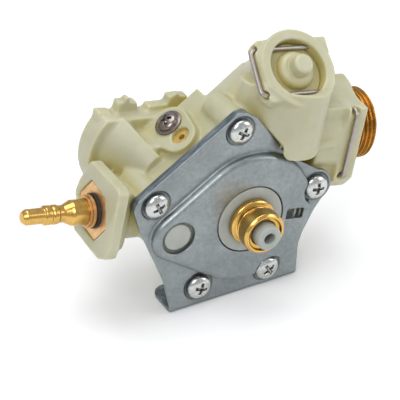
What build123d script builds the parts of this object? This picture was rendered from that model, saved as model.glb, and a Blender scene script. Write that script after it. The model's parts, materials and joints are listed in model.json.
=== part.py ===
"""Boiler diverter valve: a water-pressure operated three-way valve in a glass-filled nylon body.

Millimetres, +Z up. The origin is on the underside of the bracket's foot, below the pushrod's axis.
The body is moulded about its own axes and hangs on the bracket at a slight lean, so most of it is
drawn in the body's frame (x along the spindle and the outlet, y to the back, z up, origin where the
pushrod's axis meets the bracket's front face) and then set in place with seat().
"""
import math
import os

from build123d import *

# --- where the body sits on its bracket ---
LEAN = 12.0                # degrees, body turned about the pushrod's axis
GLAND_HEIGHT = 33.0        # pushrod axis above the foot's underside
FOOT_DEPTH = 16.0          # foot, front to back
FIT = 0.05                 # radial clearance of sliding and turned fits
GAP = 0.3                  # clearance round fixed pieces

# --- steel cover bracket ---
SHEET = 1.5
DOME_RISE = 3.0
DOME_R = 25.7
LOBE_R = 9.7
LOBE_X, LOBE_Z = -28.4, -4.9
LOBE_HOLE_R = 6.4
HUB_HOLE_R = 13.3
WINDOW_X, WINDOW_Z = 18.8, 0.4
WINDOW_W, WINDOW_H = 7.0, 4.1
DOME_EDGE_R = 2.2
RIM_DEPTH = 3.6            # folded-back edge, from the bracket's front face
RIM_OFFSET = 6.6           # folded edge beyond the upper screws' centre line
FOOT_LEFT, FOOT_RIGHT = -31.0, 21.3
BEND_R = 2.2

# --- cover screws, in the body's frame ---
SCREWS = [(-10.1, 35.0), (-38.6, 7.9), (-14.0, -28.0), (13.6, -23.1), (27.1, 9.3)]
SCREW_HEAD_R, SCREW_HEAD_H = 4.7, 3.2
SCREW_R, SCREW_LENGTH = 1.75, 14.0
DIMPLE_R, DIMPLE_DEPTH = 6.1, 0.6
PILLAR_R, PILLAR_END = 5.75, 19.0
WEB = 0.6                  # overlap that joins one moulded feature to the next

# --- diaphragm chamber ---
COVER_R = 22.8
COVER_LOBE_R = 7.4
COVER_CAVITY_R = 19.0
COVER_FRONT = -1.2         # front face of the cover's flange, inside the dome
HUB_R = 13.0
HUB_FRONT = -2.95
LEDGE = 9.0                # the diaphragm's rim seats here
RUBBER = 1.6
CHAMBER_R, CHAMBER_END = 19.5, 14.5
DRUM_R, DRUM_END = 25.0, 16.5
PLATE_R, PLATE_T = 15.0, 1.4
STROKE = 4.0               # pushrod travel, towards the front

# --- gland and pushrod ---
GLAND_FLANGE_R, GLAND_WAIST_R, GLAND_NOSE_R = 8.9, 6.9, 8.1
GLAND_END = -13.8
GLAND_THREAD_R = 6.2
ROD_R, ROD_BORE_R, ROD_BORE_DEPTH = 4.7, 2.1, 8.0
ROD_TIP = -17.1
STEM_R = 2.5
O_RING = 1.8               # section of the small O-rings

# --- three-way valve behind the diaphragm ---
VALVE_R, VALVE_END = 8.0, 32.0
SEAT_BORE_R = 4.6
SEAT_T = 2.0
SEAL_R = 6.5
SEAL_FRONT, SEAL_BACK = 22.7, 25.7
SEAT_GAP = 0.2

# --- main bore line, shared by the spindle and the outlet ---
LINE_Y = 16.5
SPINDLE_Z = -1.8
OUTLET_Z = 25.0

# --- spindle and its gland ---
BOSS_FACE = -54.0          # face of the left-hand boss
BOSS_T = 8.0
ARM_R = 11.0
HEX_R = 10.6               # brass flange, across corners / 2
HEX_T = 2.9
HEX_TURN = 7.0             # degrees
HEX_SINK = 0.6
GLAND_BODY_R, GLAND_BODY_END = 7.6, -40.0
SPINDLE_R = 4.65
SPINDLE_LENGTH = 27.6      # free length in front of the boss face
SPINDLE_END = -30.0
SPINDLE_COLLAR_R = 5.8
SPINDLE_CHAMBER_R = 7.0
FORK_T = 1.2

# --- top socket, leaning towards the front ---
SOCKET_X, SOCKET_Y, SOCKET_Z = 12.0, 5.0, 56.0
SOCKET_TILT = 50.0         # degrees above the horizontal
SOCKET_R, SOCKET_BORE_R = 14.8, 11.0
SOCKET_BORE_DEPTH = 13.0
BARREL_R, BARREL_LENGTH = 13.6, 27.0
EAR_W, EAR_H = 30.6, 23.4
EAR_FRONT, EAR_BACK = 1.2, 6.4
CLIP_SPAN = 17.2           # between the wire centres
CLIP_DEPTH = 3.0           # wire centre below the socket's rim
WIRE_R = 0.85
WIRE_BEND = 2.4
WIRE_GAP = 0.12            # between the bight and the face it lies on
WIRE_CHANNEL_R = WIRE_R + 0.15     # holes for the legs
LEG_CHANNEL_END = 0.5      # hole beyond the leg's tip
WIRE_MOUTH_R = WIRE_R + 0.95       # room for the bend where the leg leaves the moulding
PLUG_R = 10.85
PLUG_DOME_R, NUB_R = 7.0, 3.75
PLUG_SHOULDER = 4.2        # below the rim
NUB_PROUD = 4.4            # beyond the rim

# --- tube from the core up to the socket, at 45 degrees ---
TUBE_V, TUBE_Y, TUBE_R = 19.5, 20.0, 13.5
TUBE_START, TUBE_FINISH = -14.0, 36.0
TUBE_BORE_Y, TUBE_BORE_R = 23.5, 7.5

# --- upright boss below the socket ---
UPRIGHT_X, UPRIGHT_Y, UPRIGHT_R = 14.2, 4.8, 11.2
UPRIGHT_BASE = 24.2
WEB_FRONT, WEB_Z, WEB_T = 0.2, 24.4, 2.2     # web from the boss to the outlet block

# --- outlet ---
BLOCK_LEFT, BLOCK_RIGHT = 25.5, 43.6
BLOCK_FRONT, BLOCK_BACK = 1.2, 31.0
SPIGOT_R = 13.6
THREAD_R, THREAD_END = 13.22, 52.2     # 3/4 inch BSP
NIPPLE_BORE_R = 9.0
OUTLET_CLIP_X = 38.6
OUTLET_CLIP_SPAN = 26.8
OUTLET_LEG = 27.0

# --- rear port ---
PORT_X, PORT_Z = -28.6, 12.0
PORT_R, PORT_DEPTH = 12.3, 8.5
PORT_MOUTH_R, PORT_MOUTH_DEPTH = 12.8, 2.9
PORT_PASSAGE_R = 6.0
WASHER_SEAT = 2.1          # depth of the washer's pocket at the port's bottom
PORT_FACE = 38.0
COLLAR_X, COLLAR_Z = -30.5, 13.0
COLLAR_R, COLLAR_T = 21.0, 9.0
COLLAR_TOP = 26.6
FLARE_SMALL_R, FLARE_LARGE_R, FLARE_START = 9.0, 19.8, 13.0
FLARE_EDGE_U = -9.0        # the flare stops here, beside the side screw's pad
CROWN_T = 4.6
WASHER_R, WASHER_BORE_R, WASHER_T = 12.0, 8.7, 2.0
PORT_CLIP_DEPTH = 4.0
PORT_CLIP_LEG = 31.0

# --- side screw and bypass cartridge, on the 45 degree face ---
FACE_V = 34.8              # height of the 45 degree face above the pushrod's axis
SIDE_U, SIDE_Y, SIDE_V = 1.3, 22.0, 37.9
SIDE_HEAD_R = 5.15
CARTRIDGE_Y = 13.7
CARTRIDGE_R, CARTRIDGE_SINK = 3.4, 1.4

AT_45 = Plane(origin=(0, 0, 0), x_dir=(1, 0, 1), z_dir=(-1, 0, 1))
ON_END = (Align.CENTER, Align.CENTER, Align.MIN)
_tilt = math.radians(SOCKET_TILT)
SOCKET_AXIS = (0, -math.cos(_tilt), math.sin(_tilt))
AT_SOCKET = Plane(origin=(SOCKET_X, SOCKET_Y, SOCKET_Z), x_dir=(1, 0, 0), z_dir=SOCKET_AXIS)
SEATING = Pos(0, -FOOT_DEPTH / 2, GLAND_HEIGHT) * Rot(0, LEAN, 0)


# ---------------------------------------------------------------- helpers
def seat(shape):
    """Move a shape from the body's frame into the part's frame."""
    return SEATING * shape


def rod_along(plane, start, end, radius):
    """Cylinder on a plane's normal, between two heights above the plane."""
    low, high = min(start, end), max(start, end)
    cylinder = Cylinder(radius, high - low, align=ON_END)
    return (plane * Pos(0, 0, low)) * cylinder


def along_x(y, z):
    return Plane(origin=(0, y, z), x_dir=(0, 1, 0), z_dir=(1, 0, 0))


def along_y(x, z):
    return Plane(origin=(x, 0, z), x_dir=(1, 0, 0), z_dir=(0, 1, 0))


def along_z(x, y):
    return Plane(origin=(x, y, 0), x_dir=(1, 0, 0), z_dir=(0, 0, 1))


def box(low, high):
    """Box between two corners."""
    size = [b - a for a, b in zip(low, high)]
    return Pos(*low) * Box(*size, align=(Align.MIN, Align.MIN, Align.MIN))


def slab(outline, front, back):
    """Extrude an outline drawn in x and z, from y = front to y = back."""
    plane = Plane(origin=(0, back, 0), x_dir=(1, 0, 0), z_dir=(0, -1, 0))
    return extrude(plane * outline, amount=back - front)


def turned(plane, profile):
    """Revolve (radius, height) points about a plane's normal."""
    points = [(r, 0, h) for r, h in profile]
    face = make_face(Polyline(*points, close=True))
    return plane.location * revolve(face, Axis.Z, 360)


def ring(plane, start, end, outer, inner):
    return rod_along(plane, start, end, outer) - rod_along(plane, start, end, inner)


def o_ring(plane, height, radius, section):
    """O-ring whose section centre runs at the given radius."""
    return (plane * Pos(0, 0, height)) * Torus(radius, section / 2)


def circle_at(x, z, radius):
    return Pos(x, z) * Circle(radius)


def teardrop(big, small):
    """Outline round the chamber and the side lobe."""
    return make_hull(circle_at(0, 0, big).edges() + circle_at(LOBE_X, LOBE_Z, small).edges())


def wire(points, bends, radius):
    """Round wire along straight runs joined by bends."""
    path = FilletPolyline(*points, radius=bends)
    section = Plane(origin=path @ 0, z_dir=path % 0) * Circle(radius)
    return sweep(section, path=path)


def u_clip_path(plane, span, back, tips, height):
    """Points of a U clip on a plane: bight at x = back, legs to x = tips."""
    half = span / 2
    corners = [(tips, half), (back, half), (back, -half), (tips, -half)]
    return [plane.from_local_coords((a, b, height)) for a, b in corners]


# ---------------------------------------------------------------- bracket
def floor_point(x, z):
    """A point of the body's frame, seen in the bracket's upright axes."""
    lean = math.radians(LEAN)
    return (x * math.cos(lean) + z * math.sin(lean), z * math.cos(lean) - x * math.sin(lean))


def bracket_outline():
    """Flat outline of the bracket in upright axes, round the pushrod's axis."""
    (x1, z1), (x2, z2) = floor_point(*SCREWS[0]), floor_point(*SCREWS[1])
    x5, z5 = floor_point(*SCREWS[4])
    run = math.hypot(x1 - x2, z1 - z2)
    along = ((x1 - x2) / run, (z1 - z2) / run)
    out = (-along[1] * RIM_OFFSET, along[0] * RIM_OFFSET)
    left = (x2 + out[0] - 7.0 * along[0], z2 + out[1] - 7.0 * along[1])
    top = (x1 + out[0] + 5.0 * along[0], z1 + out[1] + 5.0 * along[1])
    base = BEND_R - GLAND_HEIGHT
    corners = [
        (FOOT_LEFT, base), (FOOT_RIGHT, base), (22.0, -19.5), (23.6, -15.0), (29.7, -4.0), (0, 0),
        (16.4, 21.1), (x1 + 6.9, z1 + 3.4), top, left, (-42.3, 5.7), (-33.6, -17.5), (-31.3, -28.9),
    ]
    sheet = make_face(Polyline(*corners, close=True))
    soft = [v for v in sheet.vertices() if min(math.dist((v.X, v.Y), c) for c in (left, top)) < 0.01]
    sheet = fillet(soft, 5.0)
    shoulder = make_hull(Circle(DOME_R + 0.6).edges() + circle_at(x5, z5, DIMPLE_R).edges())
    return (sheet + shoulder).face()


def rim_region():
    """Band along the folded upper-left edge, in upright axes."""
    (x1, z1), (x2, z2) = floor_point(*SCREWS[0]), floor_point(*SCREWS[1])
    run = math.hypot(x1 - x2, z1 - z2)
    along = ((x1 - x2) / run, (z1 - z2) / run)
    middle = ((x1 + x2) / 2 - along[1] * RIM_OFFSET, (z1 + z2) / 2 + along[0] * RIM_OFFSET)
    angle = math.degrees(math.atan2(along[1], along[0]))
    return Pos(*middle) * Rot(0, 0, angle) * Rectangle(run + 18.0, 6.5)


def bracket_slab(outline, front, back):
    """Extrude an outline given in the bracket's upright axes."""
    return Pos(0, -FOOT_DEPTH / 2, GLAND_HEIGHT) * slab(outline, front, back)


def bracket_rim(outer, inner, front, back):
    """Folded-back edge between two offsets of the outline."""
    flat = bracket_outline()
    band = offset(flat, outer) - offset(flat, -inner)
    return bracket_slab(band & rim_region(), front, back)


def dome(front, wall, edge):
    """Raised teardrop, its outline shrunk by a wall, with a rounded front edge."""
    outline = teardrop(DOME_R - wall, LOBE_R - wall)
    shape = slab(outline, front, SHEET)
    front_edges = shape.faces().sort_by(Axis.Y)[0].edges()
    return fillet(front_edges, edge)


def foot_and_bend():
    """Foot flange, bent back from the bracket's lower edge."""
    depth = FOOT_DEPTH / 2
    foot = box((FOOT_LEFT, -depth + BEND_R, 0), (FOOT_RIGHT, depth, SHEET))
    foot = fillet(foot.edges().filter_by(Axis.Z).sort_by(Axis.Y)[-2:], 5.0)
    bend_axis = Plane(origin=(0, -depth + BEND_R, BEND_R), x_dir=(0, 1, 0), z_dir=(1, 0, 0))
    bend = ring(bend_axis, FOOT_LEFT, FOOT_RIGHT, BEND_R, BEND_R - SHEET)
    return foot + (bend & box((FOOT_LEFT, -depth, 0), (FOOT_RIGHT, -depth + BEND_R, BEND_R)))


def make_cover_bracket():
    sheet = bracket_slab(bracket_outline(), 0, SHEET)
    sheet += bracket_rim(0, SHEET, SHEET, RIM_DEPTH)
    sheet += foot_and_bend()
    tools = []
    raised = dome(-DOME_RISE, 0, DOME_EDGE_R)
    hollow = dome(SHEET - DOME_RISE, SHEET, DOME_EDGE_R - SHEET + 0.4)
    for x, z in SCREWS:
        y_axis = along_y(x, z)
        raised -= rod_along(y_axis, -DOME_RISE - 1, 0, DIMPLE_R)
        hollow -= rod_along(y_axis, SHEET - DOME_RISE - 1, SHEET, DIMPLE_R + SHEET)
        sheet += seat(rod_along(y_axis, 0, SHEET + DIMPLE_DEPTH, DIMPLE_R + 0.6))
        tools.append(rod_along(y_axis, -1, DIMPLE_DEPTH, DIMPLE_R - 0.3))
        tools.append(rod_along(y_axis, -1, 5, SCREW_R + GAP))
    tools.append(rod_along(along_y(0, 0), -5, 5, HUB_HOLE_R))
    tools.append(rod_along(along_y(LOBE_X, LOBE_Z), -5, 5, LOBE_HOLE_R))
    window = Pos(WINDOW_X, WINDOW_Z) * Rectangle(WINDOW_W, WINDOW_H)
    tools.append(slab(window, -5, 5))
    sheet += seat(raised)
    sheet -= seat(hollow)
    for tool in tools:
        sheet -= seat(tool)
    return sheet


# ---------------------------------------------------------------- nylon body
def block_outline():
    """Outlet collar in y and z, flat to the front for the clip."""
    return [
        (BLOCK_FRONT, OUTLET_Z - 14.4), (BLOCK_FRONT, OUTLET_Z + 14.4), (10.5, OUTLET_Z + 14.8),
        (15.0, OUTLET_Z + 17.8), (20.0, OUTLET_Z + 18.8), (26.0, OUTLET_Z + 15.5),
        (BLOCK_BACK, OUTLET_Z + 8.5), (BLOCK_BACK, OUTLET_Z - 9.0), (25.0, OUTLET_Z - 16.5),
        (9.5, OUTLET_Z - 21.5), (5.0, OUTLET_Z - 19.5),
    ]


def boss_outline():
    """Left-hand boss in y and z."""
    return [
        (0.8, 13.0), (3.0, 14.4), (23.5, 14.4), (29.0, 4.0), (30.4, -1.5), (28.2, -5.0), (28.6, -12.5),
        (26.0, -15.4), (7.3, -16.2), (2.0, -13.6), (0.8, -9.0),
    ]


def outer_shape():
    chamber = along_y(0, 0)
    line = along_x(LINE_Y, OUTLET_Z)
    arm = along_x(LINE_Y, SPINDLE_Z)
    tube = Plane(origin=AT_45.from_local_coords((0, TUBE_Y, TUBE_V)), z_dir=(1, 0, 1))
    body = slab(teardrop(DRUM_R, COVER_LOBE_R + 2.4), SHEET, DRUM_END)
    body += rod_along(chamber, DRUM_END - WEB, VALVE_END + 3, 13.0)
    for x, z in SCREWS[:2]:
        body += rod_along(along_y(x, z), SHEET, PILLAR_END, PILLAR_R)
    for x, z in SCREWS[2:]:
        arm_outline = make_hull(circle_at(x, z, PILLAR_R).edges() + circle_at(0, 0, 12.0).edges())
        body += slab(arm_outline, SHEET, DRUM_END)
    body += AT_45.location * box((-21.7, SHEET, 8), (17.6, PORT_FACE - COLLAR_T + WEB, FACE_V))
    body += rod_along(tube, TUBE_START, TUBE_FINISH, TUBE_R)
    body += rod_along(AT_SOCKET, -BARREL_LENGTH, 0, BARREL_R)
    body += rod_along(AT_SOCKET, -8.0, 0, SOCKET_R)
    ears = box((-EAR_W / 2, -EAR_H / 2, -EAR_BACK), (0, EAR_H / 2, -EAR_FRONT))
    ears = chamfer(ears.edges().filter_by(Axis.Z).sort_by(Axis.X)[:2], 2.0)
    ears += box((0, 5.0, -EAR_BACK), (EAR_W / 2, EAR_H / 2, -EAR_FRONT))
    body += AT_SOCKET.location * ears
    body += lower_boss()
    body += rod_along(line, 6.0, 29.0, 12.5)
    barrel = rod_along(line, 25.0, BLOCK_RIGHT, 16.4)
    body += barrel - box((24.0, -5.0, 0.0), (BLOCK_RIGHT + 1, BLOCK_FRONT, 60.0))
    collar = make_face(Polyline(*block_outline(), close=True))
    start = OUTLET_CLIP_X - 2.9
    start_plane = Plane(origin=(start, 0, 0), x_dir=(0, 1, 0), z_dir=(1, 0, 0))
    body += extrude(start_plane * collar, amount=BLOCK_RIGHT - start)
    body += box((BLOCK_LEFT, 3.4, OUTLET_Z - 17.5), (start + WEB, BLOCK_BACK - 3, OUTLET_Z + 14.0))
    body += box((UPRIGHT_X, WEB_FRONT, WEB_Z), (BLOCK_LEFT + 7.0, WEB_FRONT + 5, WEB_Z + WEB_T))
    body += rod_along(arm, BOSS_FACE + 4, -8.0, ARM_R)
    boss = make_face(Polyline(*boss_outline(), close=True))
    face_plane = Plane(origin=(BOSS_FACE, 0, 0), x_dir=(0, 1, 0), z_dir=(1, 0, 0))
    body += extrude(face_plane * boss, amount=4.5)
    body += extrude(face_plane * boss, amount=BOSS_T, taper=22)
    body += port_flare()
    body += rear_collar()
    body += box((-34.0, LINE_Y, -10.0), (0.0, 28.0, 22.0))
    body += side_pad()
    return body


def port_flare():
    """Cone that carries the 45 degree face out to the rear collar, cut away beside the pad."""
    length = PORT_FACE - COLLAR_T + WEB - FLARE_START
    cone = Cone(FLARE_SMALL_R, FLARE_LARGE_R, length, align=ON_END)
    cone = (along_y(PORT_X, PORT_Z) * Pos(0, 0, FLARE_START)) * cone
    return cone - AT_45.location * box((FLARE_EDGE_U, 0, FACE_V), (FLARE_EDGE_U + 60, PORT_FACE, FACE_V + 60))


def side_pad():
    """Flat-topped pad under the side screw and the bypass cartridge, drawn out to the back."""
    screw_lobe = circle_at(SIDE_U - 1.0, SIDE_Y, 8.4)
    tip = circle_at(SIDE_U - 11.0, SIDE_Y + 5.6, 2.0)
    cartridge_lobe = circle_at(SIDE_U - 0.6, CARTRIDGE_Y, 6.6)
    outline = make_hull(screw_lobe.edges() + tip.edges())
    outline += make_hull(screw_lobe.edges() + cartridge_lobe.edges())
    return AT_45.location * extrude(Pos(0, 0, 18.0) * outline, amount=SIDE_V - 18.0)


def lower_boss():
    """Upright boss in front of the outlet line, cut back along the bracket's edge."""
    upright, root = circle_at(UPRIGHT_X, UPRIGHT_Y, UPRIGHT_R), circle_at(-2.0, 10.0, 5.0)
    outline = make_hull(upright.edges() + root.edges())
    boss = Pos(0, 0, UPRIGHT_BASE) * extrude(outline, amount=50.0 - UPRIGHT_BASE)
    cut = AT_45.location * box((-30, -30, -60), (23.4, 30, 60))
    return boss - cut


def rear_collar():
    """Clip collar round the rear port, with a thin castellated crown at its back."""
    front, back = PORT_FACE - COLLAR_T, PORT_FACE
    disc = circle_at(COLLAR_X, COLLAR_Z, COLLAR_R) & (Pos(COLLAR_X, 0) * Rectangle(60.0, 2 * COLLAR_TOP))
    body = slab(disc, front, back)
    body += slab(make_face(Polyline(*crown_outline(), close=True)), back - CROWN_T, back)
    for x in (-37.4, -17.2):
        body += box((x - 0.9, back - CROWN_T, 30.0), (x + 0.9, back - 1.5, 32.9))
    return body


def crown_outline():
    """Castellated top of the rear collar, in x and z."""
    return [
        (-48.6, 8.0), (-48.2, 27.8), (-42.9, 27.4), (-41.8, 26.2), (-40.8, 26.2), (-40.6, 31.0),
        (-33.0, 30.7), (-32.2, 26.9), (-28.3, 26.8), (-28.0, 28.7), (-20.3, 28.8), (-20.0, 31.9),
        (-12.4, 31.8), (-12.0, 28.6), (-7.3, 28.2), (-5.3, 26.1), (-5.3, 8.0),
    ]


def passages():
    """Waterways and seats, as one list of tools."""
    chamber = along_y(0, 0)
    line = along_x(LINE_Y, OUTLET_Z)
    arm = along_x(LINE_Y, SPINDLE_Z)
    port = along_y(PORT_X, PORT_Z)
    tube = Plane(origin=AT_45.from_local_coords((0, TUBE_BORE_Y, TUBE_V)), z_dir=(1, 0, 1))
    cross = Plane(origin=AT_45.from_local_coords((0, TUBE_BORE_Y, 0)), z_dir=(-1, 0, 1))
    tools = [
        slab(teardrop(COVER_R + GAP, COVER_LOBE_R + GAP), SHEET - 1, LEDGE),
        rod_along(chamber, 0, CHAMBER_END, CHAMBER_R),
        rod_along(chamber, CHAMBER_END - 1, DRUM_END + 1, STEM_R + FIT),
        rod_along(chamber, DRUM_END, VALVE_END, VALVE_R),
        rod_along(tube, -4.0, 38.0, TUBE_BORE_R),
        rod_along(cross, 0.0, TUBE_V, 5.5),
        rod_along(AT_SOCKET, -SOCKET_BORE_DEPTH, 1, SOCKET_BORE_R),
        rod_along(AT_SOCKET, -BARREL_LENGTH + 1, 0, 8.0),
        rod_along(line, OUTLET_CLIP_X - 6.8, BLOCK_RIGHT + 1, SPIGOT_R + FIT),
        rod_along(line, 14.0, BLOCK_RIGHT, NIPPLE_BORE_R),
        rod_along(along_z(14.0, 20.0), OUTLET_Z, 38.0, 6.0),
        rod_along(arm, BOSS_FACE - 1, GLAND_BODY_END, GLAND_BODY_R + FIT),
        rod_along(arm, GLAND_BODY_END - 1, -24.0, SPINDLE_CHAMBER_R),
        rod_along(along_x(TUBE_BORE_Y, SPINDLE_Z), -30.0, 0.0, 5.0),
        rod_along(port, PORT_FACE - PORT_MOUTH_DEPTH, PORT_FACE + 1, PORT_MOUTH_R),
        rod_along(port, PORT_FACE - PORT_DEPTH + WASHER_SEAT, PORT_FACE - 1, PORT_R),
        rod_along(port, PORT_FACE - PORT_DEPTH, PORT_FACE - PORT_MOUTH_DEPTH, WASHER_R + FIT),
        rod_along(port, LINE_Y, PORT_FACE, PORT_PASSAGE_R),
        rod_along(along_z(UPRIGHT_X, UPRIGHT_Y), UPRIGHT_BASE + 3.0, 40.0, 7.0),
        rod_along(along_y(UPRIGHT_X, 33.0), UPRIGHT_Y, 22.0, 3.5),
        rod_along(along_z(-24.6, PORT_FACE - CROWN_T / 2), 26.0, 30.0, 0.8),
    ]
    for i, (x, z) in enumerate(SCREWS):
        tools.append(rod_along(along_y(x, z), 0, SCREW_LENGTH + 1, SCREW_R + FIT))
        tools.append(rod_along(along_y(x, z), 0, SHEET + DIMPLE_DEPTH + 0.1, DIMPLE_R + 0.6 + GAP))
    tools.append(hex_recess())
    tools.append(AT_45.location * rod_along(along_z(SIDE_U, SIDE_Y), SIDE_V - 12, SIDE_V + 1, SCREW_R + FIT))
    cartridge_hole = rod_along(along_z(SIDE_U, CARTRIDGE_Y), SIDE_V - 10, SIDE_V + 1, CARTRIDGE_R)
    tools.append(AT_45.location * cartridge_hole)
    return tools


def flange_outline(room):
    """Hexagonal brass flange of the spindle gland, in y and z about its axis."""
    return Rot(0, 0, HEX_TURN) * RegularPolygon(HEX_R + room, 6)


def hex_recess():
    plane = Plane(origin=(BOSS_FACE - 1, LINE_Y, SPINDLE_Z), x_dir=(0, 1, 0), z_dir=(1, 0, 0))
    return extrude(plane * flange_outline(GAP), amount=1 + HEX_SINK + HEX_T)


def bracket_envelope():
    """Room for the bracket in front of and round the moulding."""
    flat = offset(bracket_outline(), GAP)
    room = bracket_slab(flat, -DOME_RISE - GAP, SHEET)
    return room + bracket_rim(GAP, SHEET + GAP, SHEET - 1, RIM_DEPTH + GAP)


def make_valve_body():
    body = seat(outer_shape())
    for tool in passages():
        body -= seat(tool)
    body -= bracket_envelope()
    for path in (top_clip_path(), outlet_clip_path(), port_clip_path()):
        for hole in leg_channels(path):
            body -= seat(hole)
    body -= seat(fork_shape(GAP))
    return body


# ---------------------------------------------------------------- clips
def leg_channels(corners):
    """Straight holes for a clip's legs, from their tips out through the face at the bight."""
    near, corner, other_corner, far = [Vector(*p) for p in corners]
    holes = []
    for tip, bend in ((near, corner), (far, other_corner)):
        way = (bend - tip).normalized()
        plane = Plane(origin=tip, z_dir=way)
        reach = (bend - tip).length
        holes.append(rod_along(plane, -LEG_CHANNEL_END, reach + 1, WIRE_CHANNEL_R))
        holes.append(rod_along(plane, reach - WIRE_BEND - GAP, reach + 1, WIRE_MOUTH_R))
    return holes


def top_clip_path():
    back = -EAR_W / 2 - WIRE_R - WIRE_GAP
    return u_clip_path(AT_SOCKET, CLIP_SPAN, back, SOCKET_BORE_R + WIRE_GAP, -CLIP_DEPTH)


def outlet_clip_path():
    plane = Plane(origin=(OUTLET_CLIP_X, 0, OUTLET_Z), x_dir=(0, 1, 0), z_dir=(1, 0, 0))
    back = BLOCK_FRONT - WIRE_R - WIRE_GAP
    return u_clip_path(plane, OUTLET_CLIP_SPAN, back, back + OUTLET_LEG, 0)


def port_clip_path():
    """Enters the rear port's collar from below."""
    plane = Plane(origin=(PORT_X, PORT_FACE - PORT_CLIP_DEPTH, PORT_Z), x_dir=(0, 0, 1), z_dir=(0, 1, 0))
    back = COLLAR_Z - COLLAR_R - PORT_Z - WIRE_R - WIRE_GAP
    return u_clip_path(plane, CLIP_SPAN, back, back + PORT_CLIP_LEG, 0)


def fork_shape(room):
    """Flat steel fork that enters the left boss from below and holds the brass gland."""
    x = BOSS_FACE + HEX_SINK + HEX_T + 1.0
    legs = Pos(LINE_Y, -6.0) * Rectangle(16.0 + 2 * room, 22.0)
    legs += Pos(LINE_Y - 0.5, -17.0) * Rectangle(12.0 + 2 * room, 2.6 + 2 * room)
    slot = Pos(LINE_Y, SPINDLE_Z) * Circle(6.2 - room)
    slot += Pos(LINE_Y, SPINDLE_Z + 12) * Rectangle(12.4 - 2 * room, 24.0)
    plane = Plane(origin=(x - room, 0, 0), x_dir=(0, 1, 0), z_dir=(1, 0, 0))
    return extrude(plane * (legs - slot), amount=FORK_T + 2 * room)


# ---------------------------------------------------------------- turned and small pieces
def make_gland_nut():
    back, front = HUB_FRONT, GLAND_END
    profile = [
        (ROD_R + FIT, 4.0), (GLAND_THREAD_R, 4.0), (GLAND_THREAD_R, back), (GLAND_FLANGE_R - 0.5, back),
        (GLAND_FLANGE_R, back - 0.5), (GLAND_FLANGE_R, back - 2.2), (GLAND_WAIST_R, back - 3.6),
        (GLAND_WAIST_R, back - 4.6), (GLAND_NOSE_R, back - 5.2), (GLAND_NOSE_R, front + 0.6),
        (GLAND_NOSE_R - 0.6, front), (ROD_R + 1.9, front), (ROD_R + 1.9, front + 0.8),
        (ROD_R + FIT, front + 0.8),
        (ROD_R + FIT, -9.0), (ROD_R + O_RING, -9.0), (ROD_R + O_RING, -6.8), (ROD_R + FIT, -6.8),
    ]
    return turned(along_y(0, 0), profile)


def make_pushrod():
    rod = rod_along(along_y(0, 0), ROD_TIP, 9.0, ROD_R)
    rod = chamfer(rod.edges().sort_by(Axis.Y)[0], 0.5)
    rod -= rod_along(along_y(0, 0), ROD_TIP - 1, ROD_TIP + ROD_BORE_DEPTH, ROD_BORE_R)
    rod += rod_along(along_y(0, 0), 8.0, SEAL_BACK + 1.5, STEM_R)
    return rod


def make_diaphragm_plate():
    plate = rod_along(along_y(0, 0), LEDGE, LEDGE + PLATE_T, PLATE_R)
    return plate - rod_along(along_y(0, 0), LEDGE - 1, LEDGE + PLATE_T + 1, STEM_R)


def make_diaphragm():
    """Rubber disc with a convolution between its clamped rim and its centre."""
    rim = LEDGE - RUBBER
    centre = LEDGE + PLATE_T
    profile = [
        (STEM_R + 0.1, centre), (PLATE_R + 0.8, centre), (CHAMBER_R - 1.2, rim + 0.4), (CHAMBER_R - 0.5, rim),
        (COVER_R - 0.4, rim), (COVER_R - 0.4, LEDGE), (CHAMBER_R - 0.5, LEDGE),
        (CHAMBER_R - 0.9, LEDGE + 0.4),
        (PLATE_R + 1.6, centre + 1.2), (STEM_R + 0.1, centre + 1.2),
    ]
    return turned(along_y(0, 0), profile)


def make_diaphragm_cover():
    back = LEDGE - RUBBER
    cover = slab(teardrop(COVER_R, COVER_LOBE_R), COVER_FRONT, back)
    cover += rod_along(along_y(0, 0), HUB_FRONT, COVER_FRONT + 1, HUB_R)
    cover += rod_along(along_y(LOBE_X, LOBE_Z), -2.0, COVER_FRONT + 1, 5.3)
    cover -= rod_along(along_y(0, 0), COVER_FRONT + 2.6, back + 1, COVER_CAVITY_R)
    cover -= rod_along(along_y(0, 0), HUB_FRONT - 1, back + 1, GLAND_THREAD_R + FIT)
    for x, z in SCREWS:
        cover -= rod_along(along_y(x, z), HUB_FRONT, SHEET + DIMPLE_DEPTH + GAP, DIMPLE_R + SHEET + GAP)
    pocket = Pos(WINDOW_X - 0.8, WINDOW_Z) * Rectangle(WINDOW_W + 0.6, WINDOW_H + 2)
    rib = Pos(WINDOW_X + 1.2, WINDOW_Z) * Rectangle(1.1, WINDOW_H + 3)
    cover -= slab(pocket - rib, COVER_FRONT - 1, COVER_FRONT + 2.0)
    return cover


def coil(plane, start, end, radius, wire_radius, turns):
    """Compression spring between two heights."""
    low, high = start + wire_radius, end - wire_radius
    path = Helix((high - low) / turns, high - low, radius)
    section = Plane(origin=path @ 0, z_dir=path % 0) * Circle(wire_radius)
    spring = sweep(section, path=path, is_frenet=True)
    return (plane.location * Pos(0, 0, low)) * spring


def make_screw(head_r, head_h, length, washer):
    """Pan-head screw on +Z: the head stands above z = 0 and the shank below."""
    profile = [
        (0, 0), (head_r, 0), (head_r, washer), (head_r * 0.93, head_h * 0.55),
        (head_r * 0.72, head_h * 0.86), (head_r * 0.4, head_h), (0, head_h),
    ]
    screw = turned(Plane.XY, profile)
    recess = Rectangle(head_r * 1.0, 1.0) + Rectangle(1.0, head_r * 1.0)
    screw -= extrude(Pos(0, 0, head_h - 1.5) * recess, amount=3)
    screw += rod_along(Plane.XY, -length, 0, SCREW_R)
    return screw


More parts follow.
